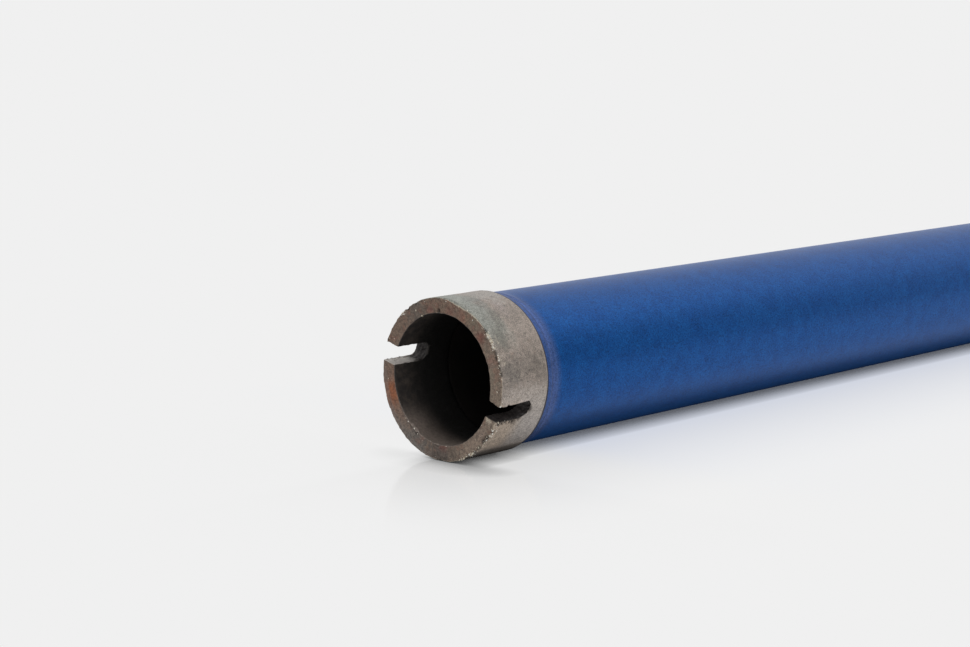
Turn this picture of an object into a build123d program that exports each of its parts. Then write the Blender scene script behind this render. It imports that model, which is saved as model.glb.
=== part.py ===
from build123d import *
import math
import os

# A slim diamond core bit for drilling with water, lying on its side.
# X is the drilling axis: the cutting face is the plane x = 0, with the origin at its centre, and
# +X runs through the barrel to the threaded end. Z is up, and the wrench hexagon lies flat below.
# All lengths are in millimetres and all angles in degrees.

# ---- crown: one sintered ring that cuts, with a plain backing collar that is welded to the barrel
crown_diameter = 25.0
crown_wall = 2.5
segment_length = 10.4  # the cutting part, which stands proud of the barrel
backing_length = 1.6
side_clearance = 0.55  # the crown cuts this much outside the barrel
core_clearance = 0.40  # and this much inside its bore
face_outer_round = 0.35  # worn edge between the face and the outer wall
face_inner_round = 0.30
segment_rear_chamfer = 0.20
slot_angles = (15.0, 200.0)  # about X from +Y towards +Z, not quite opposite each other
slot_mouth = 3.1
slot_root = 2.5
slot_depth = 6.8
slot_root_round = 0.6

# ---- barrel: a steel tube with the weld seam's low bead at its front end
working_length = 300.0  # cutting face to the barrel's rear end
bead_width = 1.2
bead_height = 0.12
bore_edge_chamfer = 0.30

# ---- coupling: one turned steel piece that closes the barrel and carries the thread
plug_length = 18.0
plug_clearance = 0.05  # soldering gap around the plug
plug_lead_chamfer = 1.0
collar_length = 5.0
hex_across_flats = 24.0
hex_length = 13.0
hex_chamfer_angle = 30.0
hex_face_land = 0.4  # the flat ring of each end face stops this far inside the flats
thread_diameter = 20.955  # major diameter of a G 1/2 pipe thread
thread_depth = 1.162
relief_length = 4.0
relief_extra = 0.25  # the relief groove is turned this far under the thread's root
spigot_length = 20.0  # shoulder to the end of the spigot
spigot_chamfer = 1.5
water_bore = 8.0
water_bore_countersink = 1.0

# ---- radii and stations along X that several pieces share
crown_radius = crown_diameter / 2
crown_bore_radius = crown_radius - crown_wall
barrel_radius = crown_radius - side_clearance
barrel_bore_radius = crown_bore_radius + core_clearance
weld_x = segment_length + backing_length
barrel_end_x = working_length
hex_x = barrel_end_x + collar_length
shoulder_x = hex_x + hex_length
spigot_end_x = shoulder_x + spigot_length


def turned(points):
    """A solid of revolution about X from its half section, given as (x, radius) corners."""
    outline = make_face(Polyline(*points, close=True))
    return revolve(outline, Axis.X)


def ring_edges(solid, x, radius):
    """The edges of a turned solid that lie on the circle of this radius at this station."""
    return [
        edge
        for edge in solid.edges().filter_by(GeomType.CIRCLE)
        if abs(edge.arc_center.X - x) < 0.01 and abs(edge.radius - radius) < 0.01
    ]


def slot_cutter():
    """The space of one slot, open at the face and on the +Y side, tapering to its root."""
    start = -segment_length / 2  # well ahead of the face
    growth = (slot_mouth - slot_root) / slot_depth
    start_half = (slot_mouth - growth * start) / 2
    root_half = slot_root / 2
    corners = [
        (start, -start_half),
        (slot_depth, -root_half),
        (slot_depth, root_half),
        (start, start_half),
    ]
    outline = make_face(Polyline(*corners, close=True))
    roots = [v for v in outline.vertices() if abs(v.X - slot_depth) < 0.01]
    outline = fillet(roots, slot_root_round)
    # the outline lies in the X-Z plane and is carried along +Y, from the axis past the outer wall
    plane = Plane(origin=(0, 0, 0), x_dir=(1, 0, 0), z_dir=(0, 1, 0))
    return extrude(plane * outline, crown_diameter)


def make_crown():
    blank = turned(
        [
            (0, crown_bore_radius),
            (0, crown_radius),
            (segment_length - segment_rear_chamfer, crown_radius),
            (segment_length, crown_radius - segment_rear_chamfer),
            (segment_length, barrel_radius),
            (weld_x, barrel_radius),
            (weld_x, crown_bore_radius),
        ]
    )
    blank = fillet(ring_edges(blank, 0, crown_radius), face_outer_round)
    blank = fillet(ring_edges(blank, 0, crown_bore_radius), face_inner_round)
    cutter = slot_cutter()
    for angle in slot_angles:
        blank -= Rot(angle, 0, 0) * cutter
    return blank


def make_barrel():
    """The tube, with the weld bead as a shallow arc on its outside next to the crown."""
    wall = Polyline(
        (weld_x + bead_width, barrel_radius),
        (barrel_end_x, barrel_radius),
        (barrel_end_x, barrel_bore_radius + bore_edge_chamfer),
        (barrel_end_x - bore_edge_chamfer, barrel_bore_radius),
        (weld_x, barrel_bore_radius),
        (weld_x, barrel_radius),
    )
    bead = ThreePointArc(
        (weld_x, barrel_radius),
        (weld_x + bead_width / 2, barrel_radius + bead_height),
        (weld_x + bead_width, barrel_radius),
    )
    return revolve(make_face(wall + bead), Axis.X)


def make_wrench_hexagon():
    """A hexagon with two flats level, its corners turned off to a cone at both ends."""
    flats = RegularPolygon(hex_across_flats / 2, 6, major_radius=False)
    plane = Plane(origin=(hex_x, 0, 0), x_dir=(0, 1, 0), z_dir=(1, 0, 0))
    prism = extrude(plane * flats, hex_length)
    corner_radius = hex_across_flats / math.sqrt(3)
    land_radius = hex_across_flats / 2 - hex_face_land
    cone_length = (corner_radius - land_radius) * math.tan(math.radians(hex_chamfer_angle))
    envelope = turned(
        [
            (hex_x, 0),
            (hex_x, land_radius),
            (hex_x + cone_length, corner_radius),
            (shoulder_x - cone_length, corner_radius),
            (shoulder_x, land_radius),
            (shoulder_x, 0),
        ]
    )
    return prism & envelope


def make_coupling():
    plug_radius = barrel_bore_radius - plug_clearance
    thread_radius = thread_diameter / 2
    relief_radius = thread_radius - thread_depth - relief_extra
    relief_end_x = shoulder_x + relief_length
    relief_slope = thread_radius - relief_radius
    front = turned(
        [
            (barrel_end_x - plug_length, 0),
            (barrel_end_x - plug_length, plug_radius - plug_lead_chamfer),
            (barrel_end_x - plug_length + plug_lead_chamfer, plug_radius),
            (barrel_end_x, plug_radius),
            (barrel_end_x, barrel_radius),
            (hex_x, barrel_radius),
            (hex_x, 0),
        ]
    )
    spigot = turned(
        [
            (shoulder_x, 0),
            (shoulder_x, relief_radius),
            (relief_end_x - relief_slope, relief_radius),
            (relief_end_x, thread_radius),
            (spigot_end_x - spigot_chamfer, thread_radius),
            (spigot_end_x, thread_radius - spigot_chamfer),
            (spigot_end_x, 0),
        ]
    )
    body = front + make_wrench_hexagon() + spigot
    bore_radius = water_bore / 2
    bore = turned(
        [
            (barrel_end_x - plug_length, 0),
            (barrel_end_x - plug_length, bore_radius),
            (spigot_end_x - water_bore_countersink, bore_radius),
            (spigot_end_x, bore_radius + water_bore_countersink),
            (spigot_end_x, 0),
        ]
    )
    return body - bore


os.makedirs("parts", exist_ok=True)
export_step(make_crown(), "parts/crown.step")
export_step(make_barrel(), "parts/barrel.step")
export_step(make_coupling(), "parts/coupling.step")
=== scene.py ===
import math
import bpy
import numpy as np
from mathutils import Matrix, Vector


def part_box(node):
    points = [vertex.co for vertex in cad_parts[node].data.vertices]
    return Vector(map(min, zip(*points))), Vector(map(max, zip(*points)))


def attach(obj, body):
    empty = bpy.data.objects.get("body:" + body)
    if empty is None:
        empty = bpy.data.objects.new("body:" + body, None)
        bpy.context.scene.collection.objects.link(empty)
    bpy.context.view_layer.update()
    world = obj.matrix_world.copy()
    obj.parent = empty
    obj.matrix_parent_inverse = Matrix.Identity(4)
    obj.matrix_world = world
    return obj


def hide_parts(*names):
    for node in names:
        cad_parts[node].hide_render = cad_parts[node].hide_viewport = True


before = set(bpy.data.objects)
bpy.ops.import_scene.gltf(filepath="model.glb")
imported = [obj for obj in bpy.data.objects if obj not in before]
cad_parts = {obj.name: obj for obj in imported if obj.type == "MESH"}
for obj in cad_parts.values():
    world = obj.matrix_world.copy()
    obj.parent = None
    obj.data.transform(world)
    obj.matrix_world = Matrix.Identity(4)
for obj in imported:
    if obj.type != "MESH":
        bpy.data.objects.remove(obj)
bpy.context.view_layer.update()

# Lengths are in millimetres until a mesh, a lamp or the camera is made, and angles are in degrees.
# X is the drilling axis. An angle about it is 0 towards +Y, 90 at the top and 180 towards -Y.
MM = 0.001


def cad_range(node):
    """A CAD node's lowest and highest corners, in millimetres."""
    low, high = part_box(node)
    return np.array(low) / MM, np.array(high) / MM


# ---- sizes, from the frame where the frame has them
CROWN_LOW, CROWN_HIGH = cad_range("crown")
BARREL_HIGH = cad_range("barrel")[1]
COUPLING_LOW, COUPLING_HIGH = cad_range("coupling")
CROWN_RADIUS = CROWN_HIGH[1]
WALL = 2.5
CROWN_BORE = CROWN_RADIUS - WALL
SEGMENT_END = 10.4
SEGMENT_CHAMFER = 0.08
WELD_X = CROWN_HIGH[0]
OUTER_STEP = 0.55  # the barrel stands this far inside the ring
INNER_STEP = 0.40
BARREL_RADIUS = CROWN_RADIUS - OUTER_STEP
BARREL_BORE = CROWN_BORE + INNER_STEP
END_CHAMFER = 0.12
MOUTH_CHAMFER = 0.3
BEAD_WIDTH = 1.2
BEAD_HEIGHT = BARREL_HIGH[1] - BARREL_RADIUS
BARREL_END = BARREL_HIGH[0]
PLUG_GAP = 0.05
COLLAR_LENGTH = 5.0
HEX_X = BARREL_END + COLLAR_LENGTH
HEX_FLATS = 24.0
HEX_LENGTH = 13.0
SHOULDER_X = HEX_X + HEX_LENGTH
THREAD_RADIUS = 20.955 / 2
THREAD_DEPTH = 1.162
THREAD_PITCH = 25.4 / 14
RELIEF_LENGTH = 4.0
RELIEF_DEPTH = 0.25  # below the thread's root
WATER_BORE = 4.0
FLOOR_Z = CROWN_LOW[2]
SLOT_END = 6.8  # the slots' deepest point
FRONT_WEAR = 0.03  # the outer wall is worn to this much less radius ahead of its rear

# ---- camera
CAMERA_PLACE = (-223.7, -218.9, 55.8)
CAMERA_YAW = 46.835  # from +Y towards +X
CAMERA_PITCH = 8.587  # downwards
CAMERA_LENS = 78.5
CAMERA_SENSOR = 36
PALE_GREY = 0.871  # background and floor, linear


# ---------------------------------------------------------------- numbers and meshes
def smoothstep(low, high, value):
    """0 below low, 1 above high, and 3t^2 - 2t^3 in between."""
    t = np.clip((value - low) / (high - low), 0, 1)
    return t * t * (3 - 2 * t)


def lattice_noise(points, cell, seed):
    """Smooth noise from -1 to 1: a random number at each corner of a cubic lattice of this cell
    size, blended between a point's eight corners with the weight 3t^2 - 2t^3 along each axis."""
    table = np.random.RandomState(seed).uniform(-1, 1, 4096)
    scaled = points / cell
    base = np.floor(scaled).astype(np.int64)
    t = scaled - base
    t = t * t * (3 - 2 * t)
    total = np.zeros(points.shape[:-1])
    for corner in np.ndindex(2, 2, 2):
        i, j, k = np.moveaxis(base + corner, -1, 0)
        key = (i * 73856093) ^ (j * 19349663) ^ (k * 83492791)
        weight = np.prod(np.where(corner, t, 1 - t), axis=-1)
        total += weight * table[key % table.size]
    return total


def rough_noise(points, cell, octaves, seed):
    """Sum of lattice noises, each with half the cell and half the height of the one before."""
    return sum(
        lattice_noise(points, cell / 2**n, seed + n) / 2**n for n in range(octaves)
    )


def polar(x, radius, angle):
    """Points in millimetres at these stations, radii and angles in radians about X."""
    return np.stack(
        np.broadcast_arrays(x, radius * np.cos(angle), radius * np.sin(angle)), axis=-1
    )


def mesh_object(name, points, quads, masks=None):
    """A smooth mesh from points in millimetres and an array of quads. A quad with two equal
    neighbouring corners becomes a triangle, one with more is dropped, and so is a lone point."""
    same = quads == np.roll(quads, -1, axis=1)
    whole = quads[same.sum(1) == 0]
    pinched = quads[same.sum(1) == 1]
    keep = ~(pinched == np.roll(pinched, -1, axis=1))
    triangles = pinched[keep].reshape(-1, 3)
    used, packed = np.unique(
        np.concatenate([whole.ravel(), triangles.ravel()]), return_inverse=True
    )
    corners = np.concatenate([np.full(len(whole), 4), np.full(len(triangles), 3)])
    mesh = bpy.data.meshes.new(name)
    mesh.vertices.add(len(used))
    mesh.vertices.foreach_set("co", (points[used] * MM).astype(np.float32).ravel())
    mesh.loops.add(len(packed))
    mesh.loops.foreach_set("vertex_index", packed.astype(np.int32))
    mesh.polygons.add(len(corners))
    mesh.polygons.foreach_set("loop_start", np.concatenate([[0], np.cumsum(corners)[:-1]]))
    mesh.polygons.foreach_set("use_smooth", np.ones(len(corners), bool))
    for mask_name, values in (masks or {}).items():
        layer = mesh.attributes.new(mask_name, "FLOAT", "POINT")
        layer.data.foreach_set("value", values[used].astype(np.float32))
    mesh.update(calc_edges=True)
    mesh.validate()
    piece = bpy.data.objects.new(name, mesh)
    bpy.context.scene.collection.objects.link(piece)
    return piece


def ring_quads(index):
    """Quads of a grid of point numbers that closes on itself in both directions."""
    across = np.roll(index, -1, axis=0)
    along = np.roll(index, -1, axis=1)
    both = np.roll(across, -1, axis=1)
    return np.stack([index, across, both, along], axis=-1).reshape(-1, 4)


def stretches(*ends_and_steps):
    """Stations from one end through the next ones: (start, (end, steps), (end, steps), ...)."""
    start, *rest = ends_and_steps
    parts = [np.array([start], float)]
    for end, steps in rest:
        parts.append(np.linspace(parts[-1][-1], end, steps + 1)[1:])
    return np.concatenate(parts)


# ---------------------------------------------------------------- crown
# A slot: its centre's angle, and for its low-angle and high-angle sides the half width at the
# mouth, how much that has narrowed at the root, the width that the root's corner takes off, how
# far ahead of the root that corner begins, and the corner's power (2 is round, 1.5 is slack).
SLOTS = (
    {"angle": 15.0, "low": (1.50, 0.10, 0.60, 1.0, 2.0), "high": (1.32, -0.04, 0.50, 0.7, 2.0)},
    {"angle": 200.0, "low": (1.42, -0.32, 0.45, 0.6, 2.0), "high": (0.90, 0.10, 0.95, 1.9, 1.6)},
)
SIDE_ROUND = 0.16
INNER_ROUND = 0.16
# Chips out of the worn ring: station, radius, angle, width and depth.
CHIPS = (
    (0.0, 12.45, 137, 0.45, 0.30), (0.1, 12.30, 155, 0.38, 0.40), (0.0, 12.10, 158, 0.34, 0.28),
    (0.1, 12.42, 162, 0.38, 0.40), (0.1, 12.42, 166, 0.34, 0.38), (0.1, 12.50, 170, 0.40, 0.40),
    (0.0, 12.05, 220, 0.55, 0.30), (0.0, 11.95, 224, 0.40, 0.30), (0.1, 12.40, 231, 0.45, 0.38),
    (0.0, 12.35, 236, 0.35, 0.28), (0.2, 12.50, 213, 0.45, 0.30), (0.0, 12.40, 243, 0.32, 0.25),
    (0.0, 10.40, 87, 0.32, 0.34), (0.0, 10.15, 303, 0.50, 0.40), (0.0, 10.10, 309, 0.40, 0.34),
    (0.0, 10.05, 275, 0.35, 0.25), (0.0, 12.40, 55, 0.42, 0.22), (0.0, 12.45, 64, 0.30, 0.15),
    (0.3, 12.50, 194, 0.45, 0.25), (3.9, 12.50, 206, 0.50, 0.35),
    (2.2, 12.50, 205, 0.40, 0.30), (1.9, 12.50, 193, 0.30, 0.18),
    (6.9, 12.40, 198, 0.55, 0.26), (6.8, 11.60, 199, 0.60, 0.20), (3.1, 12.50, 206, 0.35, 0.22),
    (0.8, 12.50, 206, 0.40, 0.26), (1.5, 12.50, 206, 0.30, 0.20), (5.0, 12.50, 204, 0.40, 0.24),
)
# Hollows worn into the ring's outer front edge: angle, half width and height.
WORN_PLACES = ((112, 18, 0.48), (158, 30, 0.24), (207, 5, 0.35), (234, 15, 0.42), (62, 22, 0.10))


def worn_round(angle):
    """Radius of the ring's outer front edge at an angle in radians: 0.08 mm, and more where it is
    worn, each hollow as high as a bell curve about its own angle."""
    radius = np.full_like(angle, 0.08)
    for centre, width, extra in WORN_PLACES:
        radius += extra * np.exp(-((away_from(angle, centre) / width) ** 2))
    return radius


def slot_half(x, side):
    """Half width of a slot at a station, from its centre plane to one side."""
    mouth, narrowing, corner, corner_length, power = side
    into_corner = np.clip((x - SLOT_END + corner_length) / corner_length, 0, 1)
    return mouth - narrowing * np.minimum(x / SLOT_END, 1) - corner * into_corner**power


def slot_edge(x, radius, slot, side):
    """Angle of one side of a slot at a station and radius, where that side meets the ring."""
    turn = np.arcsin(slot_half(x, SLOTS[slot][side]) / radius)
    return math.radians(SLOTS[slot]["angle"]) + (turn if side == "high" else -turn)


def crown_rows():
    """The ring's half section as one closed line of (x, radius) points: collar, outer wall, face,
    bore and rear face. Also gives the first and last row that lie ahead of the slots' root."""
    collar_x = stretches(WELD_X, (SEGMENT_END, 4))
    rim_x = SEGMENT_END - SEGMENT_CHAMFER
    rear_x = stretches(rim_x, (rim_x - 0.03, 1), (SLOT_END, 18))[:-1]
    wall_x = stretches(SLOT_END, (1.2, 56), (0.0, 13))
    face_r = stretches(
        CROWN_RADIUS, (CROWN_RADIUS - 0.9, 10), (CROWN_BORE + 0.5, 8), (CROWN_BORE, 6)
    )
    bore_x = stretches(0.0, (0.7, 7), (SLOT_END, 18))
    deep_x = stretches(SLOT_END, (WELD_X, 8))[1:]
    back_r = stretches(CROWN_BORE, (BARREL_RADIUS, 3))[1:-1]
    chamfer_r = CROWN_RADIUS - SEGMENT_CHAMFER
    x = np.concatenate(
        [
            collar_x,
            [SEGMENT_END],
            rear_x,
            wall_x,
            0 * face_r[1:-1],
            bore_x,
            deep_x,
            0 * back_r + WELD_X,
        ]
    )
    radius = np.concatenate(
        [
            0 * collar_x + BARREL_RADIUS,
            [chamfer_r],
            0 * rear_x + CROWN_RADIUS,
            0 * wall_x + CROWN_RADIUS,
            face_r[1:-1],
            0 * bore_x + CROWN_BORE,
            0 * deep_x + CROWN_BORE,
            back_r,
        ]
    )
    first = len(collar_x) + 1 + len(rear_x)
    last = first + len(wall_x) + len(face_r) - 2 + len(bore_x) - 1
    return x, radius, first, last


def crown_grid():
    """The slotted ring as one grid. Rows run along its half section. Columns go round it: across
    each sector between slots at an even share of the angle, down a slot's side on straight lines
    from the section's outline to the root line, across the root, and up the slot's other side.
    Gives x, radius and angle, each column's kind, the point numbers, and the first and last row
    that lie ahead of the slots' root."""
    row_x, row_r, first, last = crown_rows()
    rows = len(row_x)
    ahead = np.arange(first, last + 1)
    leg = np.abs(np.diff(row_x[ahead])) + np.abs(np.diff(row_r[ahead]))
    along = np.concatenate([[0], np.cumsum(leg)]) / leg.sum()
    root_r = CROWN_RADIUS - (CROWN_RADIUS - CROWN_BORE) * along
    shares = stretches(0.0, (0.016, 6), (0.984, 190), (1.0, 6))
    down = stretches(0.0, (0.06, 3), (1.0, 26))[1:-1]
    across = np.linspace(0, 1, 13)
    x_parts, r_parts, angle_parts, kinds, home = [], [], [], [], []
    column = 0

    def add(x, radius, angle, kind, edge=None):
        nonlocal column
        count = x.shape[1]
        x_parts.append(x), r_parts.append(radius), angle_parts.append(angle)
        kinds.extend([kind] * count)
        home.extend(range(column, column + count) if edge is None else [edge] * count)
        column += count

    def side_wall(slot, side, shares_down, edge):
        x = np.repeat(row_x[:, None], len(shares_down), axis=1)
        radius = np.repeat(row_r[:, None], len(shares_down), axis=1)
        x[ahead] += (SLOT_END - x[ahead]) * shares_down
        radius[ahead] += (root_r[:, None] - radius[ahead]) * shares_down
        add(x, radius, slot_edge(x, radius, slot, side), "side_" + side, edge)

    for slot in (0, 1):
        following = 1 - slot
        turn = 2 * math.pi if following == 0 else 0
        x = np.repeat(row_x[:, None], len(shares), axis=1)
        radius = np.repeat(row_r[:, None], len(shares), axis=1)
        start = slot_edge(x, radius, slot, "high")
        end = slot_edge(x, radius, following, "low") + turn
        add(x, radius, start + (end - start) * shares, "sector")
        # the following slot: its low side, its root and its high side
        side_wall(following, "low", down, column - 1)
        x = np.repeat(row_x[:, None], len(across), axis=1)
        radius = np.repeat(row_r[:, None], len(across), axis=1)
        x[ahead] = SLOT_END
        radius[ahead] = root_r[:, None]
        low = slot_edge(x, radius, following, "low")
        high = slot_edge(x, radius, following, "high")
        before_root = column - len(down) - 1
        add(x, radius, low + (high - low) * across, "root")
        home[-len(across)] = before_root
        after_root = column + len(down)
        home[-1] = after_root if following == 1 else 0
        side_wall(following, "high", down[::-1], after_root if following == 1 else 0)
    x, radius, angle = (np.concatenate(p, axis=1) for p in (x_parts, r_parts, angle_parts))
    index = np.arange(x.size).reshape(x.shape)
    behind = np.ones(rows, bool)
    behind[first + 1 : last] = False
    index[behind] = index[behind][:, home]
    return x, radius, angle, np.array(kinds), index, (first, last)


def away_from(angle, centre):
    """Degrees from a centre angle, from -180 to 180, of angles in radians."""
    return (np.degrees(angle) - centre + 180) % 360 - 180


def crown_piece():
    """The ring with worn, rounded edges, chips and a rough face. A point whose shares into the
    rounded edges are c = (front, outer, inner, side) moves to c / |c|, which is also its outward
    direction, and then along that direction by noise that only takes metal away."""
    x, radius, angle, kinds, index, (first, last) = crown_grid()
    is_root = (kinds == "root")[None, :]
    is_side = np.isin(kinds, ("side_low", "side_high"))[None, :]
    ahead = np.zeros(x.shape, bool)
    ahead[first : last + 1] = True

    # shares into the rounded edges, from 0 where a round begins to 1 on the sharp edge
    uneven = 1 + 0.3 * lattice_noise(polar(x, radius, angle), 0.9, 11)
    outer_round = worn_round(angle) * uneven
    inner_part = smoothstep(CROWN_RADIUS - 0.6, CROWN_BORE + 0.6, radius)
    front_round = outer_round + (INNER_ROUND * uneven - outer_round) * inner_part
    front_round = np.where(is_root, SIDE_ROUND, front_round)
    wall_round = np.where(is_root, SIDE_ROUND, outer_round)
    depth = np.where(is_root, x - SLOT_END, x)
    front = np.clip(1 - depth / front_round, 0, 1)
    outer = np.clip(1 - (CROWN_RADIUS - radius) / wall_round, 0, 1)
    inner = np.clip(1 - (radius - CROWN_BORE) / INNER_ROUND, 0, 1)
    collar = (x > SEGMENT_END - SEGMENT_CHAMFER / 2) & (radius > CROWN_BORE + 0.01)
    outer = np.where(collar, 0, outer)
    side = np.zeros(x.shape)
    toward = np.zeros(x.shape)  # the way the slot lies: +1 towards larger angles
    fade = smoothstep(SLOT_END, SLOT_END - 0.3, x) * ahead
    sector = kinds == "sector"
    starts = np.flatnonzero(sector & ~np.roll(sector, 1))
    ends = np.flatnonzero(sector & ~np.roll(sector, -1))
    for start, end in zip(starts, ends):
        part = slice(start, end + 1)
        from_start = radius[:, part] * (angle[:, part] - angle[:, start : start + 1])
        from_end = radius[:, part] * (angle[:, end : end + 1] - angle[:, part])
        share_start = np.clip(1 - from_start / SIDE_ROUND, 0, 1) * fade[:, part]
        share_end = np.clip(1 - from_end / SIDE_ROUND, 0, 1) * fade[:, part]
        side[:, part] = share_start + share_end
        toward[:, part] = np.sign(share_end - share_start)
    slot_wall = is_side & ahead
    side = np.where(slot_wall, 1.0, side)
    toward = np.where(slot_wall, np.where(kinds == "side_low", 1.0, -1.0), toward)

    # round the edges
    length = np.sqrt(front**2 + outer**2 + inner**2 + side**2)
    length = np.where(length < 0.5, 1.0, length)
    pull = 1 - 1 / np.maximum(length, 1.0)
    x = x + front_round * front * pull
    radius = radius - wall_round * outer * pull + INNER_ROUND * inner * pull
    angle = angle - toward * SIDE_ROUND * side * pull / radius
    n_front, n_outer, n_inner, n_side = (c / length for c in (front, outer, inner, side))

    # where on the round the face ends and the wall begins: 0 at the wall, 1 at the face
    place = polar(x, radius, angle)
    coarse = rough_noise(place, 1.7, 2, 21)
    middle = rough_noise(place, 0.62, 2, 31)
    fine = rough_noise(place, 0.30, 1, 41)
    tilt = np.degrees(np.arctan2(n_front, np.maximum(n_outer, 1e-6)))
    border = 45 - 30 * np.exp(-((away_from(angle, 155) / 26) ** 2))
    border += 28 * np.exp(-((away_from(angle, 112) / 18) ** 2))
    border += 30 * np.exp(-((away_from(angle, 207) / 5) ** 2))
    calm = np.exp(-((away_from(angle, 119) / 14) ** 2))
    tilt += (14 * middle + 8 * fine) * (1 - 0.85 * calm)
    face = smoothstep(border - 9, border + 9, tilt) * (n_inner < 0.7)
    # the line where face and wall meet; the ring's material paints it pale, partly wear and partly
    # a painted highlight
    rim = np.exp(-(((tilt - border) / 9) ** 2)) * (n_inner < 0.1) * ~is_root * (x < 1.5)
    near_lip = np.abs(away_from(angle, 205)) < 5
    lip = 4 * (n_front * n_side) ** 2 * smoothstep(11.2, 11.8, radius) * near_lip
    rim = np.maximum(rim, lip)

    # take metal away: grain and hollows, the ragged rim, and the chips
    w_front, w_outer, w_inner, w_side = (
        c**2 for c in (n_front, n_outer, n_inner, n_side)
    )
    ragged = 4 * w_front * w_outer
    lift = w_front * (0.040 * middle + 0.045 * coarse + 0.020 * fine)
    lift += w_outer * (0.010 * middle + 0.006 * fine + 0.010 * coarse)
    lift += w_inner * (0.040 * middle + 0.030 * coarse)
    lift += w_side * (0.090 * middle + 0.060 * fine + 0.050 * coarse)
    lift += ragged * (0.10 * middle + 0.06 * fine)
    lift += is_root * ahead * (0.16 * middle + 0.08 * fine)
    near_wall = smoothstep(CROWN_RADIUS - 0.9, CROWN_RADIUS - 0.1, radius)
    near_wall = near_wall * (w_side > 0.3) * (x > 0.6)
    teeth = rough_noise(place * (1.0, 0.6, 0.6), 0.34, 2, 61)
    lift += near_wall * (0.30 * teeth - 0.12)
    lift -= w_front * 0.10 + w_outer * 0.026 + w_inner * 0.05 + w_side * 0.10
    pits = smoothstep(0.55, 0.85, lattice_noise(place, 0.42, 51)) * (w_front + 0.5 * w_side)
    lift -= 0.05 * pits
    chipped = np.zeros(x.shape)
    for chip_x, chip_r, chip_angle, width, deep in CHIPS:
        centre = polar(chip_x, chip_r, math.radians(chip_angle))
        reach = np.linalg.norm(place - centre, axis=-1) / width * (1 + 0.25 * middle)
        bowl = np.exp(-(reach**4))
        lift -= deep * bowl
        chipped = np.maximum(chipped, bowl)
    lift = np.minimum(lift, 0)
    x = x - n_front * lift
    radius = radius + (n_outer - n_inner) * lift
    angle = angle + toward * n_side * lift / radius
    outside = smoothstep(CROWN_RADIUS - 1.4, CROWN_RADIUS - 0.2, radius)
    radius = radius - FRONT_WEAR * outside * smoothstep(9.7, 6.0, x)
    masks = {
        "face": face,
        "rim": rim,
        "pit": np.maximum(chipped, 0.4 * pits),
        "slot": np.clip(w_side * 1.5 + is_root * ahead * n_front, 0, 1),
        "bore": n_inner,
    }
    masks = {name: values.ravel() for name, values in masks.items()}
    points = polar(x, radius, angle).reshape(-1, 3)
    return mesh_object("crown_ring", points, ring_quads(index), masks)


# ---------------------------------------------------------------- barrel
def turned_points(x, radius, angle):
    """Points of a grid, and their numbers, from stations and radii, one or a row's worth each, and
    a row of angles."""
    place = polar(x, radius, angle)
    return place.reshape(-1, 3), np.arange(place[..., 0].size).reshape(place.shape[:2])


def barrel_piece():
    """The tube: a closed half section turned about X. Radius along the outside: a squared sine for
    the worn weld bead, a little higher or lower by smooth noise round the joint, then a straight
    line."""
    angle = np.linspace(0, 2 * math.pi, 257)[:-1][None, :]
    bead_x = stretches(WELD_X, (WELD_X + BEAD_WIDTH, 14))
    body_x = stretches(WELD_X + BEAD_WIDTH, (30, 12), (BARREL_END - END_CHAMFER, 60))[1:]
    end_x = np.array([BARREL_END, BARREL_END, BARREL_END - MOUTH_CHAMFER])
    bore_x = stretches(BARREL_END - MOUTH_CHAMFER, (20, 40), (WELD_X, 8))[1:]
    x = np.concatenate([bead_x, body_x, end_x, bore_x])[:, None]
    outer_r = np.full(len(bead_x) + len(body_x), BARREL_RADIUS)
    end_r = [BARREL_RADIUS - END_CHAMFER, BARREL_BORE + MOUTH_CHAMFER, BARREL_BORE]
    radius = np.concatenate([outer_r, end_r, 0 * bore_x + BARREL_BORE])
    wave = np.zeros(len(radius))
    wave[: len(bead_x)] = np.sin(np.pi * (bead_x - WELD_X) / BEAD_WIDTH) ** 2
    around = polar(0.0, BARREL_RADIUS, angle)
    uneven = 0.50 + 0.10 * rough_noise(around, 3.0, 3, 71)
    radius = radius[:, None] + BEAD_HEIGHT * wave[:, None] * uneven
    points, index = turned_points(x, radius, angle)
    return mesh_object("barrel_tube", points, ring_quads(index))


# ---------------------------------------------------------------- coupling
def coupling_envelope(x, angle):
    """Radius of the coupling's outside behind the collar: the hexagon's flats, r = half the width
    across them over the cosine of the angle from the nearest flat, held under a cone at each end;
    then the relief groove, the spigot with its thread and the cone at its end."""
    from_flat = (angle - math.radians(90) + math.radians(30)) % math.radians(60) - math.radians(30)
    flats = HEX_FLATS / 2 / np.cos(from_flat)
    steep = 1 / math.tan(math.radians(30))
    land = HEX_FLATS / 2 - 0.4
    hexagon = np.minimum(flats, land + steep * np.minimum(x - HEX_X, SHOULDER_X - x))
    groove = THREAD_RADIUS - THREAD_DEPTH - RELIEF_DEPTH
    slope = groove + (x - (SHOULDER_X + RELIEF_LENGTH - (THREAD_RADIUS - groove)))
    cone = THREAD_RADIUS - 1.5 + (COUPLING_HIGH[0] - x)
    # thread: a triangle wave of the full height of the 55 degree form, softly cut to its depth
    turns = x / THREAD_PITCH + angle / (2 * math.pi)
    wave = 1 - 4 * np.abs(turns % 1 - 0.5)
    share = 0.9605 * THREAD_PITCH / THREAD_DEPTH * wave
    share = share / (1 + share**10) ** 0.1
    thread = THREAD_RADIUS - THREAD_DEPTH / 2 * (1 - share)
    spigot = np.minimum(thread, np.minimum(np.maximum(slope, groove), cone))
    return np.where(x <= SHOULDER_X, hexagon, spigot)


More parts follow.
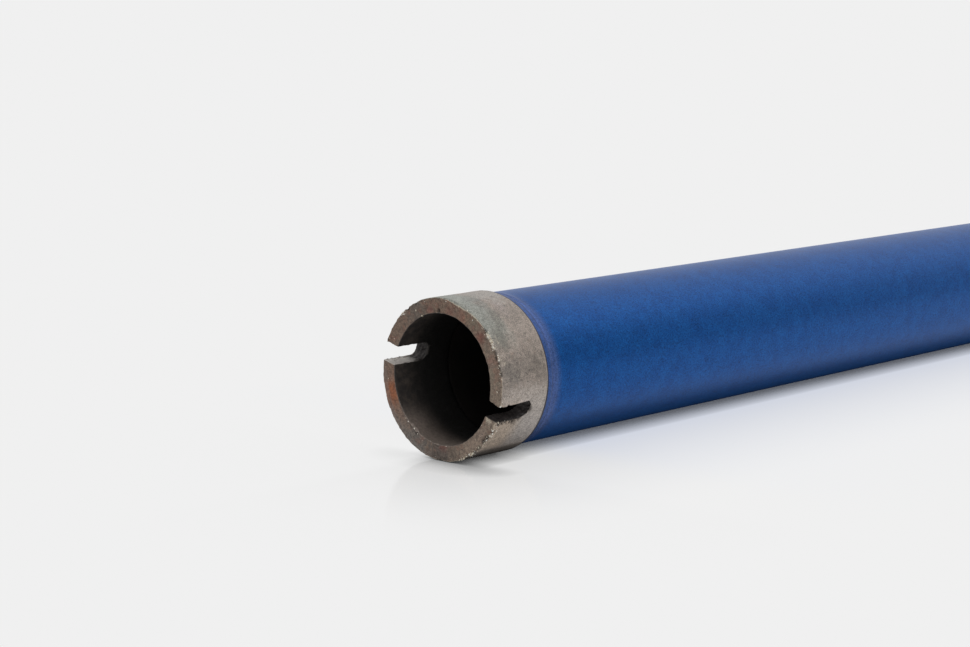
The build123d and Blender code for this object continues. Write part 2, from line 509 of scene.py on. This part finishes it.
def coupling_piece():
    """Plug, collar, hexagon and threaded spigot with the water bore: a closed half section turned
    about X, with the radius behind the collar from coupling_envelope."""
    angle = np.linspace(0, 2 * math.pi, 361)[:-1][None, :]
    start = COUPLING_LOW[0]
    plug = BARREL_BORE - PLUG_GAP
    front = [
        (start, WATER_BORE), (start, plug - 1), (start + 1, plug), (BARREL_END, plug),
        (BARREL_END, BARREL_RADIUS - END_CHAMFER), (BARREL_END + END_CHAMFER, BARREL_RADIUS),
        (HEX_X - 0.2, BARREL_RADIUS), (HEX_X, BARREL_RADIUS - 0.2),
    ]
    front_x, front_r = np.array(front).T
    hex_x = stretches(HEX_X, (HEX_X + 1.5, 16), (SHOULDER_X - 1.5, 6), (SHOULDER_X, 16))
    groove_end = SHOULDER_X + RELIEF_LENGTH - THREAD_DEPTH - RELIEF_DEPTH
    spigot_end = COUPLING_HIGH[0]
    spigot_x = stretches(
        SHOULDER_X + 1e-6, (groove_end, 4), (spigot_end - 1.5, 130), (spigot_end, 12)
    )
    back = [(spigot_end, WATER_BORE + 1), (spigot_end - 1, WATER_BORE), (start + 20, WATER_BORE)]
    back_x, back_r = np.array(back).T
    outside_x = np.concatenate([hex_x, spigot_x])[:, None]
    outside = coupling_envelope(outside_x, angle)
    ones = np.ones_like(angle)
    x = np.concatenate([front_x, outside_x[:, 0], back_x])[:, None]
    radius = np.concatenate([front_r[:, None] * ones, outside, back_r[:, None] * ones])
    points, index = turned_points(x, radius, angle)
    piece = mesh_object("coupling_body", points, ring_quads(index))
    piece.data.set_sharp_from_angle(angle=math.radians(32))
    return piece


# ---------------------------------------------------------------- grit
# Where crystals crowd on the worn edge: angle, half spread, station, radius and share.
GRIT_CROWDS = (
    (120, 14, 0.0, 12.1, 0.5), (140, 4, 0.1, 12.4, 3.4), (147, 5, 0.1, 12.4, 3.4),
    (165, 6, 0.2, 12.4, 0.8), (191, 3, 0.1, 12.3, 0.5), (213, 4, 0.3, 12.4, 0.7),
    (206, 1, 1.0, 12.4, 0.12), (206, 1, 1.9, 12.4, 0.12), (206, 1, 2.8, 12.4, 0.10),
    (206, 1, 3.7, 12.4, 0.06),
    (223, 9, 0.1, 12.1, 0.9), (241, 7, 0.1, 12.3, 1.8), (49, 2, 0.0, 12.2, 1.0),
    (288, 16, 0.0, 10.1, 0.10), (305, 5, 0.0, 10.1, 0.30), (255, 18, 0.0, 12.3, 0.2),
)


def grit_piece(ring):
    """Crystals of diamond, bare or half sunk in the ring: octahedra whose three half axes are
    random, turned at random, each about a corner of the ring's mesh. A corner's chance is the sum
    of bell curves of its distance from each crowd, plus a little anywhere on the face."""
    mesh = ring.data
    count = len(mesh.vertices)
    place = np.empty(3 * count)
    mesh.vertices.foreach_get("co", place)
    place = place.reshape(-1, 3) / MM
    masks = {}
    for name in ("face", "slot"):
        values = np.empty(count)
        mesh.attributes[name].data.foreach_get("value", values)
        masks[name] = values
    radius = np.hypot(place[:, 1], place[:, 2])
    angle = np.arctan2(place[:, 2], place[:, 1])
    chance = np.zeros(count)
    for centre, spread, station, ring_r, share in GRIT_CROWDS:
        around = (away_from(angle, centre) / spread) ** 2
        off = ((radius - ring_r) ** 2 + (place[:, 0] - station) ** 2) / 0.30**2
        chance += share / (spread * ring_r) * np.exp(-around - off)
    front = place[:, 0] < 1.2
    chance = chance * (masks["slot"] < 0.3) + 0.00006 * masks["face"] * front
    chance[place[:, 0] < 0.03] = 0
    random = np.random.RandomState(5)
    amount = 340
    chosen = random.choice(count, amount, replace=False, p=chance / chance.sum())
    size = 0.045 + 0.14 * random.uniform(0, 1, amount) ** 3.0
    axes = size[:, None] * random.uniform(0.75, 1.2, (amount, 3))
    octahedron = np.array(
        [(1, 0, 0), (0, 1, 0), (-1, 0, 0), (0, -1, 0), (0, 0, 1), (0, 0, -1)], float
    )
    turn = np.linalg.qr(random.normal(size=(amount, 3, 3)))[0]
    turn *= np.sign(np.linalg.det(turn))[:, None, None]
    corners = np.einsum("nij,kj,nj->nki", turn, octahedron, axes) + place[chosen][:, None, :]
    corners[..., 0] = np.maximum(corners[..., 0], 0.0)
    reach = np.hypot(corners[..., 1], corners[..., 2])
    corners[..., 1:] *= np.minimum(1, CROWN_RADIUS / reach)[..., None]
    upper = [(0, 1, 4), (1, 2, 4), (2, 3, 4), (3, 0, 4)]
    lower = [(1, 0, 5), (2, 1, 5), (3, 2, 5), (0, 3, 5)]
    sides = np.array(upper + lower)
    faces = (np.arange(amount)[:, None, None] * 6 + sides).reshape(-1, 3)
    mesh = bpy.data.meshes.new("diamond_grit")
    mesh.from_pydata((corners * MM).reshape(-1, 3).tolist(), [], faces.tolist())
    piece = bpy.data.objects.new("diamond_grit", mesh)
    bpy.context.scene.collection.objects.link(piece)
    return piece


def finish_faces(piece, materials, number):
    """Gives a piece its materials. number works out each face's, from stations and radii."""
    mesh = piece.data
    for material in materials:
        mesh.materials.append(material)
    centre = np.empty(3 * len(mesh.polygons))
    mesh.polygons.foreach_get("center", centre)
    centre = centre.reshape(-1, 3) / MM
    chosen = number(centre[:, 0], np.hypot(centre[:, 1], centre[:, 2]))
    mesh.polygons.foreach_set("material_index", np.asarray(chosen, np.int32))
    mesh.update()


# ---------------------------------------------------------------- finishes
def linear(red, green, blue):
    """A colour of 0 to 255 as shader values."""
    values = (c / 255 for c in (red, green, blue))
    return tuple(c / 12.92 if c <= 0.04045 else ((c + 0.055) / 1.055) ** 2.4 for c in values) + (1,)


class Value:
    """A shader output as a number that Python's operators work on: each adds a Math node."""

    def __init__(self, nodes, socket):
        self.nodes = nodes
        self.socket = socket

    def math(self, operation, *values):
        inputs = dict(enumerate(values))
        return self.nodes.node("ShaderNodeMath", {"operation": operation}, inputs)

    def __add__(self, other):
        return self.math("ADD", self, other)

    def __radd__(self, other):
        return self.math("ADD", other, self)

    def __sub__(self, other):
        return self.math("SUBTRACT", self, other)

    def __rsub__(self, other):
        return self.math("SUBTRACT", other, self)

    def __mul__(self, other):
        return self.math("MULTIPLY", self, other)

    def __rmul__(self, other):
        return self.math("MULTIPLY", other, self)

    def __pow__(self, other):
        return self.math("POWER", self, other)

    def __abs__(self):
        return self.math("ABSOLUTE", self)

    def cosine(self):
        return self.math("COSINE", self)

    def step(self, low, high):
        """0 below low and 1 above high, smooth in between; low may be the larger one."""
        settings = {"interpolation_type": "SMOOTHSTEP"}
        inputs = {"Value": self, "From Min": low, "From Max": high}
        return self.nodes.node("ShaderNodeMapRange", settings, inputs)


class Nodes:
    """A node tree, emptied, and the short ways of filling it."""

    def __init__(self, tree):
        self.tree = tree
        tree.nodes.clear()

    def node(self, kind, settings=None, inputs=None, output=0):
        """Adds a node: its settings first, then values or links on its sockets."""
        node = self.tree.nodes.new(kind)
        for name, value in (settings or {}).items():
            setattr(node, name, value)
        for name, value in (inputs or {}).items():
            self.join(node.inputs[name], value)
        return Value(self, node.outputs[output])

    def join(self, socket, value):
        if isinstance(value, Value):
            self.tree.links.new(value.socket, socket)
        else:
            socket.default_value = value


class Finish(Nodes):
    """A material: a Principled shader and the nodes that feed it, on Object coordinates."""

    def __init__(self, name):
        self.material = bpy.data.materials.new(name)
        self.material.use_nodes = True
        super().__init__(self.material.node_tree)
        self.shader = self.tree.nodes.new("ShaderNodeBsdfPrincipled")
        output = self.tree.nodes.new("ShaderNodeOutputMaterial")
        self.tree.links.new(self.shader.outputs[0], output.inputs["Surface"])
        self.place = self.node("ShaderNodeTexCoord", output="Object")

    def set(self, **inputs):
        """Sets the shader's sockets, named with _ for a space."""
        for name, value in inputs.items():
            self.join(self.shader.inputs[name.replace("_", " ")], value)

    def mix(self, factor, first, second):
        """A colour from first, where factor is 0, to second, where it is 1."""
        inputs = {0: factor, 6: first, 7: second}
        return self.node("ShaderNodeMix", {"data_type": "RGBA"}, inputs, output=2)

    def tint(self, colour, factor):
        """A colour times a number."""
        settings = {"operation": "SCALE"}
        return self.node("ShaderNodeVectorMath", settings, {0: colour, "Scale": factor})

    def noise(self, size, detail=2.0, stretch=None, roughness=0.5):
        """Noise from 0 to 1 with grains of about this size in millimetres."""
        place = self.place
        if stretch:
            place = self.node("ShaderNodeMapping", None, {"Vector": place, "Scale": stretch})
        scale = 1 / (size * MM)
        inputs = {"Vector": place, "Scale": scale, "Detail": detail, "Roughness": roughness}
        return self.node("ShaderNodeTexNoise", None, inputs)

    def spot(self, station, degrees, radius, along, across):
        """1 at a point of the ring and 0 beyond an ellipsoid about it, given in mm, whose outline
        the finish's own ragged value disturbs."""
        turn = math.radians(degrees)
        centre = (station * MM, radius * math.cos(turn) * MM, radius * math.sin(turn) * MM)
        scale = (1 / (along * MM), 1 / (across * MM), 1 / (across * MM))
        step = "ShaderNodeVectorMath"
        away = self.node(step, {"operation": "SUBTRACT"}, {0: self.place, 1: centre})
        away = self.node(step, {"operation": "MULTIPLY"}, {0: away, 1: scale})
        away = self.node(step, {"operation": "LENGTH"}, {0: away}, output="Value")
        return (away + self.ragged).step(1.5, 0.3)

    def mask(self, name):
        """A mesh's own mask."""
        return self.node("ShaderNodeAttribute", {"attribute_name": name}, output="Fac")

    def along(self, axis):
        """A coordinate in millimetres: 0 for X, 1 for Y, 2 for Z."""
        parts = self.node("ShaderNodeSeparateXYZ", None, {0: self.place}, output=axis)
        return parts * (1 / MM)

    def bump(self, height, depth):
        """A normal from a height of 0 to 1 that stands for this many millimetres."""
        inputs = {"Height": height, "Distance": depth * MM, "Strength": 1.0}
        return self.node("ShaderNodeBump", None, inputs)


# Places on the ring that differ in colour: station, angle, radius, half length along X and half
# width across, then the tone and how strongly it shows.
WALL_SPOTS = (
    ((2.3, 143, 12.4, 1.5, 2.4), (110, 109, 101), 0.75),
    ((3.8, 130, 12.4, 0.8, 2.0), (112, 113, 105), 0.65),
    ((2.2, 171, 12.4, 1.9, 2.2), (116, 111, 105), 0.60),
    ((4.5, 166, 12.4, 2.6, 1.6), (122, 114, 107), 0.55),
    ((8.2, 167, 12.4, 2.0, 2.4), (120, 112, 104), 0.60),
    ((4.8, 187, 12.4, 6.5, 1.7), (176, 166, 158), 0.75),
    ((4.6, 147, 12.4, 0.9, 2.2), (160, 151, 141), 0.50),
    ((6.6, 119, 12.4, 1.2, 2.2), (164, 152, 148), 0.50),
    ((8.0, 96, 12.4, 4.0, 3.4), (168, 163, 158), 0.70),
    ((2.5, 98, 12.4, 2.5, 2.6), (158, 160, 153), 0.60),
    ((3.8, 108, 12.4, 1.4, 2.6), (116, 113, 108), 0.50),
    ((6.4, 126, 12.4, 4.2, 1.8), (122, 114, 106), 0.40),
    ((8.6, 196, 12.4, 2.0, 2.0), (172, 163, 155), 0.50),
)
FACE_SPOTS = (
    ((0.1, -88, 11.2, 1.0, 2.6), (84, 76, 71), 0.80),
    ((0.1, -60, 11.3, 1.0, 3.0), (104, 99, 94), 0.80),
    ((0.1, -17, 11.2, 1.4, 3.4), (140, 92, 66), 0.60),
    ((0.1, -16, 11.2, 1.0, 1.7), (154, 92, 56), 0.85),
    ((0.1, -2, 11.2, 1.0, 1.4), (118, 98, 86), 0.50),
    ((0.1, 62, 11.4, 1.0, 2.2), (96, 90, 84), 0.60),
    ((0.1, 77, 10.6, 0.6, 0.7), (130, 84, 74), 0.60),
    ((0.1, 100, 10.7, 0.6, 0.9), (128, 86, 74), 0.50),
    ((0.1, 117, 10.9, 0.6, 1.3), (148, 108, 90), 0.70),
    ((0.1, 138, 10.8, 0.6, 0.9), (122, 72, 62), 0.70),
    ((0.1, 160, 10.9, 0.6, 0.7), (138, 102, 92), 0.60),
    ((0.1, 122, 11.8, 0.6, 1.6), (112, 108, 92), 0.55),
    ((0.1, 168, 11.6, 0.6, 1.6), (124, 112, 98), 0.60),
    ((0.1, 222, 11.0, 0.8, 1.2), (142, 124, 112), 0.60),
    ((0.1, 268, 10.0, 0.8, 0.9), (120, 70, 62), 0.60),
    ((0.1, -40, 10.8, 0.8, 2.0), (122, 106, 95), 0.60),
    ((0.1, 255, 11.2, 0.8, 1.4), (114, 101, 90), 0.60),
    ((0.1, 236, 11.9, 0.6, 2.6), (142, 124, 110), 0.60),
)
REAR_HIGHLIGHT_X = 10.02  # station of the painted highlight line along the wall's rear edge
BEAD_CREST = 12.1


def sintered_metal():
    """The ring: beige grey outside and greener towards the face, with dark smudges, a painted
    bounce light on its lower front, a painted highlight and a painted shadow line along its rear
    edge, and painted shade that makes it nearly black low down; brown on the worn face, rusty on
    one side and grey below; pale along the worn edge, partly as a painted highlight; dark in chips;
    dark in the slots, with a painted pool of light near the mouth of one; dark in the bore, with a
    painted lit patch low near its mouth and painted shade that deepens inwards."""
    finish = Finish("sintered_metal")
    x, y, z = (finish.along(axis) for axis in range(3))
    angle = finish.node("ShaderNodeMath", {"operation": "ARCTAN2"}, {0: z, 1: y})
    radius = (y * y + z * z) ** 0.5
    patches = finish.noise(3.4, 3.0)
    clouds = finish.noise(1.2, 3.0)
    grains = finish.noise(0.42, 3.0, roughness=0.65)
    specks = finish.noise(0.15, 1.0)

    def around(degrees, narrow, wide):
        """1 within narrow degrees of an angle about the axis, and 0 beyond wide degrees of it."""
        turned = (angle - math.radians(degrees)).cosine()
        return turned.step(math.cos(math.radians(wide)), math.cos(math.radians(narrow)))

    finish.ragged = 1.7 * (clouds - 0.5) + 1.1 * (grains - 0.5)

    # outer wall
    greener = (x + 6.0 * (patches - 0.5) + 2.0 * (clouds - 0.5)).step(5.6, 2.6)
    greener = greener * around(106, 24, 50)
    wall = finish.mix(greener, linear(147, 136, 127), linear(139, 140, 133))
    # painted light: the wall round 210 degrees, low on the -Y side, is made paler as if lit from
    # the floor, warmer towards the face
    painted_bounce_band = around(210, 16, 26)
    light = finish.mix(x.step(6.5, 3.0), linear(166, 158, 152), linear(176, 160, 144))
    wall = finish.mix(painted_bounce_band, wall, light)
    for place, tone, strength in WALL_SPOTS:
        wall = finish.mix(strength * finish.spot(*place), wall, linear(*tone))
    mottles = finish.noise(0.62, 4.0, roughness=0.75)
    wall = finish.tint(wall, -0.89 + 0.40 * clouds + 1.50 * mottles + 1.90 * specks)
    # painted highlight: a pale line along the wall's rear edge on the upper -Y side, where the edge
    # would catch the light
    edge = abs(x - REAR_HIGHLIGHT_X).step(0.16, 0.04)
    wall = finish.mix(0.25 * edge * around(150, 30, 55), wall, linear(176, 168, 158))
    # painted shade: the wall darkens towards the bottom, nearly black where it lies near the floor
    painted_low_shade = 0.55 * z.step(-9.6, -10.4) + 0.37 * z.step(-10.2, -11.6)
    wall = finish.mix(painted_low_shade, wall, linear(34, 31, 29))
    # painted shadow: a dark line at the ring's rear step, where the wall meets the painted collar
    # behind it
    under = (x + 0.16 * around(225, 20, 50)).step(10.10, 10.18)
    wall = finish.mix(under, wall, linear(44, 42, 50))

    # face
    face = finish.mix(around(200, 40, 80), linear(120, 101, 87), linear(130, 115, 101))
    for place, tone, strength in FACE_SPOTS:
        face = finish.mix(strength * finish.spot(*place), face, linear(*tone))
    reddish = (clouds + 0.5 * patches + 0.10 * around(135, 20, 40)).step(0.76, 0.96)
    face = finish.mix(0.35 * reddish, face, linear(128, 86, 72))
    outside = radius.step(11.3, 11.9) * around(-38, 26, 50)
    face = finish.mix(0.45 * outside, face, linear(124, 118, 114))
    face = finish.tint(face, -0.64 + 1.90 * grains + 1.40 * specks)

    colour = finish.mix(finish.mask("face"), wall, face)
    # the pale worn edge: partly worn metal and grit, partly a painted highlight along the rounded
    # edge; glints break it up, and it runs unbroken round 119 degrees
    glints = (specks + 0.35 * grains).step(0.56, 0.76)
    line = around(119, 12, 19)
    glints = glints + (0.85 - glints) * line
    colour = finish.mix(finish.mask("rim") * (0.25 + 0.65 * glints), colour, linear(208, 198, 178))
    colour = finish.mix(0.90 * finish.mask("pit"), colour, linear(42, 35, 30))
    # slots: dark walls, and a painted pool of light (lit) near the mouth on the +Y side
    slot_dark_and_painted_light = finish.mix(grains.step(0.35, 0.65), linear(32, 28, 28), linear(62, 57, 55))
    lit = 0.85 * y.step(0.0, 4.0) * x.step(6.0, 3.5)
    slot_dark_and_painted_light = finish.mix(lit, slot_dark_and_painted_light, linear(192, 186, 180))
    colour = finish.mix(finish.mask("slot"), colour, slot_dark_and_painted_light)
    # bore: clouded dirt, a painted lit patch low down near the mouth, and painted shade that
    # darkens it deeper in
    bore_dirt_and_painted_light = finish.mix(clouds.step(0.4, 0.7), linear(58, 54, 52), linear(80, 72, 66))
    bore_dirt_and_painted_light = finish.mix(around(-75, 20, 50), bore_dirt_and_painted_light, linear(128, 116, 108))
    bore_dirt_and_painted_light = finish.mix(x.step(0.3, 7.0), bore_dirt_and_painted_light, linear(28, 27, 26))
    bore_dirt_and_painted_light = finish.tint(bore_dirt_and_painted_light, 0.2 + 1.2 * grains + 0.4 * specks)
    colour = finish.mix(finish.mask("bore"), colour, bore_dirt_and_painted_light)
    height = 0.6 * grains + 0.4 * specks
    finish.set(
        Base_Color=colour,
        Metallic=0.25,
        Specular_IOR_Level=0.5,
        Roughness=0.46 + 0.2 * clouds,
        Normal=finish.bump(height, 0.06),
    )
    return finish.material


def blue_paint():
    """Satin metallic blue with a fine speckle: thin at both ends, paler along the top of the weld
    bead as a painted highlight, and darker low down as painted shade."""
    finish = Finish("blue_paint")
    flakes = finish.noise(0.40, 4.0, roughness=0.8)
    clouds = finish.noise(2.4, 3.0)
    colour = finish.mix(clouds.step(0.3, 0.7), linear(8, 70, 136), linear(12, 78, 146))
    x = finish.along(0)
    thin = x.step(14.4, 12.6) + x.step(298.0, 299.5)
    # painted highlight: a pale stripe along the top of the weld bead
    painted_bead_highlight = abs(x - BEAD_CREST).step(0.7, 0.0)
    colour = finish.mix(0.48 * thin, colour, linear(84, 96, 138))
    colour = finish.mix(0.20 * painted_bead_highlight, colour, linear(112, 124, 172))
    z = finish.along(2)
    # painted shade: the paint darkens towards the bottom, most near the floor
    painted_low_shade = 0.32 * z.step(-4.0, -9.0) + 0.40 * z.step(-9.8, -11.4)
    colour = finish.mix(painted_low_shade, colour, linear(14, 34, 62))
    sparkle = finish.noise(0.17, 1.0)
    colour = finish.tint(colour, -0.54 + 1.60 * flakes + 1.50 * sparkle)
    finish.set(
        Base_Color=colour,
        Metallic=0.42,
        Specular_IOR_Level=0.12,
        Roughness=0.34 + 0.08 * flakes,
        Normal=finish.bump(flakes, 0.012),
    )
    return finish.material


def dull_steel():
    """The barrel's bare bore: dark and clouded."""
    finish = Finish("dull_steel")
    clouds = finish.noise(4.0, 3.0)
    colour = finish.mix(clouds, linear(22, 21, 21), linear(40, 35, 32))
    finish.set(
        Base_Color=colour,
        Metallic=0.2,
        Specular_IOR_Level=0.2,
        Roughness=0.6 + 0.2 * clouds,
    )
    return finish.material


def turned_steel():
    """The coupling: turned steel with tool marks round the axis, handled grey, and darker in the
    thread's grooves and at its shoulder."""
    finish = Finish("turned_steel")
    x, y, z = (finish.along(axis) for axis in range(3))
    radius = (y * y + z * z) ** 0.5
    marks = finish.noise(0.12, 2.0, stretch=(1.0, 0.04, 0.04))
    bands = finish.noise(0.7, 3.0, stretch=(1.0, 0.04, 0.04))
    clouds = finish.noise(5.0, 3.0)
    stains = finish.noise(2.2, 4.0, roughness=0.65)
    colour = finish.mix(clouds, linear(140, 140, 140), linear(184, 183, 181))
    colour = finish.mix(0.20 * stains.step(0.48, 0.70), colour, linear(112, 108, 102))
    colour = finish.tint(colour, 0.70 + 0.2 * marks + 0.4 * bands)
    behind_shoulder = x.step(SHOULDER_X - 0.05, SHOULDER_X + 0.05)
    groove = radius.step(10.1, 9.3) * radius.step(8.2, 8.8) * behind_shoulder
    colour = finish.mix(0.75 * groove, colour, linear(58, 54, 50))
    finish.set(
        Base_Color=colour,
        Metallic=0.9,
        Roughness=0.24 + 0.12 * clouds + 0.20 * stains,
        Normal=finish.bump(bands, 0.02),
    )
    return finish.material


def bare_diamond():
    """Crystals: cream to nearly clear white, glossy."""
    finish = Finish("bare_diamond")
    tone = finish.noise(0.5, 1.0)
    colour = finish.mix(tone.step(0.35, 0.65), linear(218, 208, 186), linear(243, 240, 232))
    finish.set(Base_Color=colour, Roughness=0.12 + 0.2 * tone)
    return finish.material


# ---------------------------------------------------------------- studio
def place_camera():
    """Stands at its place, level, turned from +Y towards +X and tipped down."""
    yaw = math.radians(CAMERA_YAW)
    pitch = math.radians(CAMERA_PITCH)
    forward = Vector(
        (math.sin(yaw) * math.cos(pitch), math.cos(yaw) * math.cos(pitch), -math.sin(pitch))
    )
    right = Vector((math.cos(yaw), -math.sin(yaw), 0))
    up = right.cross(forward)
    camera = bpy.data.objects.new("camera", bpy.data.cameras.new("camera"))
    camera.data.lens = CAMERA_LENS
    camera.data.sensor_width = CAMERA_SENSOR
    camera.data.sensor_fit = "HORIZONTAL"
    camera.data.clip_start = 0.01
    camera.data.clip_end = 100
    turn = Matrix((right, up, -forward)).transposed().to_4x4()
    camera.matrix_world = Matrix.Translation(Vector(CAMERA_PLACE) * MM) @ turn
    bpy.context.scene.collection.objects.link(camera)
    bpy.context.scene.camera = camera


def pale_floor():
    """A wide floor that glows an even pale grey: it darkens only close to what stands on it, as a
    painted shadow, takes a blue tint beside the barrel as painted bounce light, and mirrors the bit
    faintly, less with the distance from the line that the bit lies on and not past its ends."""
    corners = np.array([(-6000, -6000), (12000, -6000), (-6000, 12000)], float)
    points = np.column_stack([corners, np.full(3, FLOOR_Z)])
    floor = mesh_object("floor", points, np.array([[0, 1, 2, 2]]))
    finish = Finish("floor_paint")
    tree = finish.tree
    tree.nodes.remove(finish.shader)

    def openness(reach):
        """1 where nothing stands within this many millimetres of the floor, and down to 0."""
        inputs = {"Distance": reach * MM}
        return finish.node("ShaderNodeAmbientOcclusion", {"samples": 12}, inputs, output="AO")

    near = openness(2.6)
    far = openness(60)
    is_camera = finish.node("ShaderNodeLightPath", output="Is Camera Ray")
    wider = openness(7)
    x = finish.along(0)
    by_ring = x.step(4.0, -2.0)
    shade = near**0.65
    shade = shade + (wider**1.6 - shade) * by_ring
    shade = shade * (1 - (0.07 + 0.21 * by_ring) * (1 - far))
    # the painted shadow is mostly taken away behind the ring, on the +Y side
    behind = finish.along(1).step(1.0, 6.0) * x.step(12.0, 4.0)
    shade = shade + (1 - shade) * 0.7 * behind
    below = wider.step(0.2, 0.8) * (0.75 + 0.25 * far) * (1 - 0.35 * x.step(14.0, 8.0))
    shade = below + (shade - below) * is_camera
    # painted bounce light: the floor takes a blue tint beside the barrel
    painted_blue_bounce = (1 - far) * x.step(10.0, 26.0)
    white = finish.mix(painted_blue_bounce, (1, 1, 1, 1), (0.86, 0.92, 1.08, 1))
    glow = finish.node("ShaderNodeEmission", None, {"Color": white, "Strength": PALE_GREY * shade})
    mirror = finish.node("ShaderNodeBsdfGlossy", None, {"Color": (1, 1, 1, 1), "Roughness": 0.12})
    share = 0.16 * abs(finish.along(1)).step(45.0, 0.0) * near.step(0.2, 0.8)
    share = share * x.step(-40.0, 0.0) * x.step(380.0, 340.0)
    both = finish.node("ShaderNodeMixShader", None, {0: share, 1: glow, 2: mirror})
    output = next(n for n in tree.nodes if n.type == "OUTPUT_MATERIAL")
    tree.links.new(both.socket, output.inputs["Surface"])
    floor.data.materials.append(finish.material)


def studio_light():
    """An even pale surround, dim low down towards -Y as a dark room behind the camera is, and two
    broad suns from above."""
    world = bpy.data.worlds.new("surround")
    world.use_nodes = True
    room = Nodes(world.node_tree)
    ray = room.node("ShaderNodeTexCoord", output="Object")
    y = room.node("ShaderNodeSeparateXYZ", None, {0: ray}, output=1)
    z = room.node("ShaderNodeSeparateXYZ", None, {0: ray}, output=2)
    dim = y.step(-0.15, -0.60) * z.step(0.70, 0.30)
    is_camera = room.node("ShaderNodeLightPath", output="Is Camera Ray")
    is_glossy = room.node("ShaderNodeLightPath", output="Is Glossy Ray")
    bright = (1 - 0.66 * dim) * (0.45 + (PALE_GREY - 0.45) * is_glossy)
    strength = bright * (1 - is_camera) + PALE_GREY * is_camera
    light = room.node("ShaderNodeBackground", None, {"Color": (1, 1, 1, 1), "Strength": strength})
    output = room.tree.nodes.new("ShaderNodeOutputWorld")
    room.tree.links.new(light.socket, output.inputs["Surface"])
    bpy.context.scene.world = world
    for name, aim, energy, spread in (
        ("overhead", (-0.2, 0.25, -1.0), 0.95, 80),
        ("front", (0.5, 0.8, -0.42), 0.64, 36),
    ):
        lamp = bpy.data.lights.new(name, "SUN")
        lamp.energy = energy
        lamp.angle = math.radians(spread)
        sun = bpy.data.objects.new(name, lamp)
        sun.rotation_euler = Vector(aim).to_track_quat("-Z", "Y").to_euler()
        bpy.context.scene.collection.objects.link(sun)


bpy.context.scene.view_settings.view_transform = "Standard"
place_camera()
pale_floor()
studio_light()
paint = blue_paint()
ring = crown_piece()
finish_faces(
    ring, (sintered_metal(), paint), lambda x, r: (x > SEGMENT_END) & (r > CROWN_BORE + 0.4)
)
tube = barrel_piece()
finish_faces(tube, (paint, dull_steel()), lambda x, r: r < BARREL_BORE + 0.4)
coupling = coupling_piece()
finish_faces(
    coupling,
    (turned_steel(), paint),
    lambda x, r: (x > BARREL_END) & (x < HEX_X) & (r > BARREL_RADIUS - 0.3),
)
grit = grit_piece(ring)
grit.data.materials.append(bare_diamond())
for piece, slot in ((ring, "crown"), (grit, "crown"), (tube, "barrel"), (coupling, "coupling")):
    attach(piece, "root")
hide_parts("crown")
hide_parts("barrel")
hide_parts("coupling")
